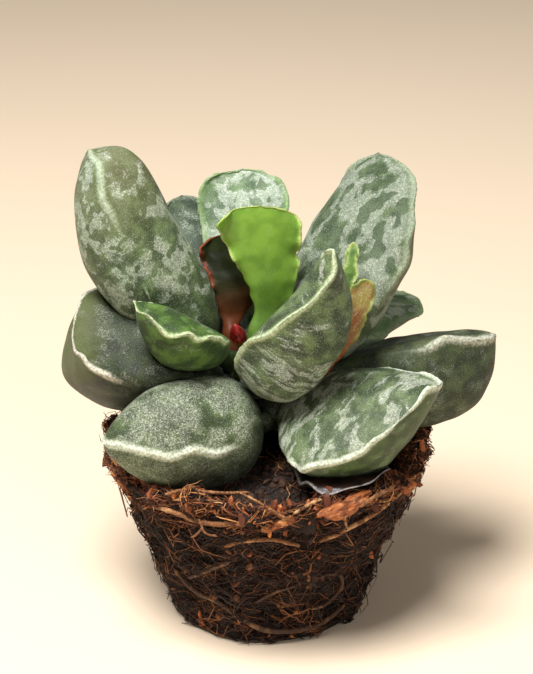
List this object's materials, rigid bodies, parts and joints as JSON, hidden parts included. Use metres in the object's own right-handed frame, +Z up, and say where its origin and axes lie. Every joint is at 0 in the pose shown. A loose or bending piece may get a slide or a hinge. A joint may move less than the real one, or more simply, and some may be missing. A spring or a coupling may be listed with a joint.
{
  "type": "potted plover eggs plant",
  "caption": "Small succulent with thick frosted grey-green spotted leaves round a short stem, growing in a tapered bare coir root plug that stands on its flat underside.",
  "frame": {"origin": "centre of the root plug's flat underside", "axes": "+Z up along the plug's axis, +X to the right and -Y towards the viewer when the plant is seen from its front"},
  "size_m": [0.0638, 0.0504, 0.0702],
  "materials": {
    "leaf_frosted": "matte",
    "leaf_young": "satin",
    "leaf_young_red": "satin",
    "leaf_old": "satin",
    "stem_flesh": "satin",
    "bud_red": "satin",
    "coir": "matte",
    "soil": "matte",
    "root": "matte",
    "bark": "matte"
  },
  "bodies": {
    "root": {"stem": "stem_flesh", "growing_bud": "bud_red", "leaf_front_left": "leaf_frosted", "leaf_centre": "leaf_frosted", "leaf_front_right": "leaf_frosted", "leaf_small_left": "leaf_frosted", "leaf_tall_left": "leaf_frosted", "leaf_tall_right": "leaf_frosted", "leaf_right": "leaf_frosted", "leaf_left": "leaf_frosted", "young_leaf_bright": "leaf_young", "young_leaf_red": "leaf_young_red", "young_leaf_brown": "leaf_young_red", "young_leaf_sliver": "leaf_young", "leaf_back_spoon": "leaf_frosted", "leaf_back_left": "leaf_frosted", "leaf_back_right": "leaf_frosted", "leaf_low_back": "leaf_frosted", "leaf_low_back_left": "leaf_frosted", "old_leaf_dark": "leaf_old", "potting_soil": "soil", "root_plug": "coir", "root_circling": "root", "root_left_pale": "root", "root_right_loop": "root", "root_middle": "root", "root_back_long": "root", "root_back_rising": "root", "root_left_side": "root", "root_right_side": "root", "coir_strand_front": "coir", "coir_strand_middle": "coir", "coir_strand_right": "coir", "bark_chip_front": "bark", "bark_chip_middle": "bark", "bark_chip_right": "bark", "bark_chip_back": "bark", "bark_chip_left": "bark"}
  },
  "joints": []
}
